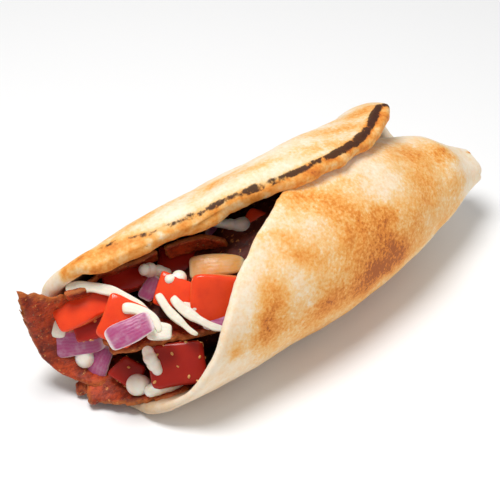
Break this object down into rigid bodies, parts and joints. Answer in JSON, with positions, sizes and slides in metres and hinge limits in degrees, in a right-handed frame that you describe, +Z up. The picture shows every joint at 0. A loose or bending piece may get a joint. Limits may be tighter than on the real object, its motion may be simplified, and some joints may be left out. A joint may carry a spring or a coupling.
{
  "type": "filled flatbread wrap",
  "caption": "Round flatbread rolled to a tapering sleeve, open at one end, filled with sliced meat, tomato, red onion, cabbage and sauce.",
  "frame": {"origin": "on the flat underside, under the middle of the roll", "axes": "+X along the roll towards the pinched tail, -X the open mouth, -Y the side of the near flap, +Z up"},
  "size_m": [0.2386, 0.0834, 0.0802],
  "materials": {
    "flatbread": "toasted, matt",
    "tomato_wedge_left": "wet, glossy",
    "tomato_round_front": "wet, glossy",
    "tomato_block_right": "wet, glossy",
    "tomato_low_front": "wet, glossy",
    "tomato_centre": "wet, glossy",
    "tomato_back_right": "wet, glossy",
    "tomato_back_dark": "wet, glossy",
    "tomato_far_dark": "wet, glossy",
    "tomato_flesh_left": "wet, glossy",
    "tomato_seed_low": "wet, glossy",
    "onion_left": "moist, satin",
    "onion_centre": "moist, satin",
    "onion_low": "moist, satin",
    "onion_back": "moist, satin",
    "onion_back_right": "moist, satin",
    "onion_under_block": "moist, satin",
    "onion_small_dark": "moist, satin",
    "onion_white_left": "moist, satin",
    "onion_white_cube": "moist, satin",
    "pepper_slice": "moist, satin",
    "onion_white_arc": "moist, satin",
    "cabbage_ribbon_left": "moist, satin",
    "cabbage_ribbon_mid": "moist, satin",
    "cabbage_ribbon_right": "moist, satin",
    "meat_crumb_low": "browned, slightly oily",
    "sauce_ball_left": "smooth, glossy",
    "sauce_ball_low": "smooth, glossy",
    "sauce_drop_centre": "smooth, glossy",
    "sauce_under_block": "smooth, glossy",
    "meat_slice_trough": "browned, slightly oily",
    "meat_slice_floor": "browned, slightly oily",
    "meat_slice_middle": "browned, slightly oily",
    "meat_strip_back": "browned, slightly oily",
    "meat_strip_left": "browned, slightly oily",
    "meat_crust_back": "browned, slightly oily",
    "sauce_pool_low": "smooth, glossy",
    "sauce_on_block": "smooth, glossy",
    "sauce_drop_back": "smooth, glossy",
    "sauce_centre": "smooth, glossy",
    "sliced_meat_heap": "browned, slightly oily"
  },
  "bodies": {
    "root": {"flatbread": "flatbread", "tomato_wedge_left": "tomato_wedge_left", "tomato_round_front": "tomato_round_front", "tomato_block_right": "tomato_block_right", "tomato_low_front": "tomato_low_front", "tomato_centre": "tomato_centre", "tomato_back_right": "tomato_back_right", "tomato_back_dark": "tomato_back_dark", "tomato_far_dark": "tomato_far_dark", "tomato_flesh_left": "tomato_flesh_left", "tomato_seed_low": "tomato_seed_low", "onion_left": "onion_left", "onion_centre": "onion_centre", "onion_low": "onion_low", "onion_back": "onion_back", "onion_back_right": "onion_back_right", "onion_under_block": "onion_under_block", "onion_small_dark": "onion_small_dark", "onion_white_left": "onion_white_left", "onion_white_cube": "onion_white_cube", "pepper_slice": "pepper_slice", "onion_white_arc": "onion_white_arc", "cabbage_ribbon_left": "cabbage_ribbon_left", "cabbage_ribbon_mid": "cabbage_ribbon_mid", "cabbage_ribbon_right": "cabbage_ribbon_right", "meat_crumb_low": "meat_crumb_low", "sauce_ball_left": "sauce_ball_left", "sauce_ball_low": "sauce_ball_low", "sauce_drop_centre": "sauce_drop_centre", "sauce_under_block": "sauce_under_block", "meat_slice_trough": "meat_slice_trough", "meat_slice_floor": "meat_slice_floor", "meat_slice_middle": "meat_slice_middle", "meat_strip_back": "meat_strip_back", "meat_strip_left": "meat_strip_left", "meat_crust_back": "meat_crust_back", "sauce_pool_low": "sauce_pool_low", "sauce_on_block": "sauce_on_block", "sauce_drop_back": "sauce_drop_back", "sauce_centre": "sauce_centre", "sliced_meat_heap": "sliced_meat_heap"}
  },
  "joints": []
}
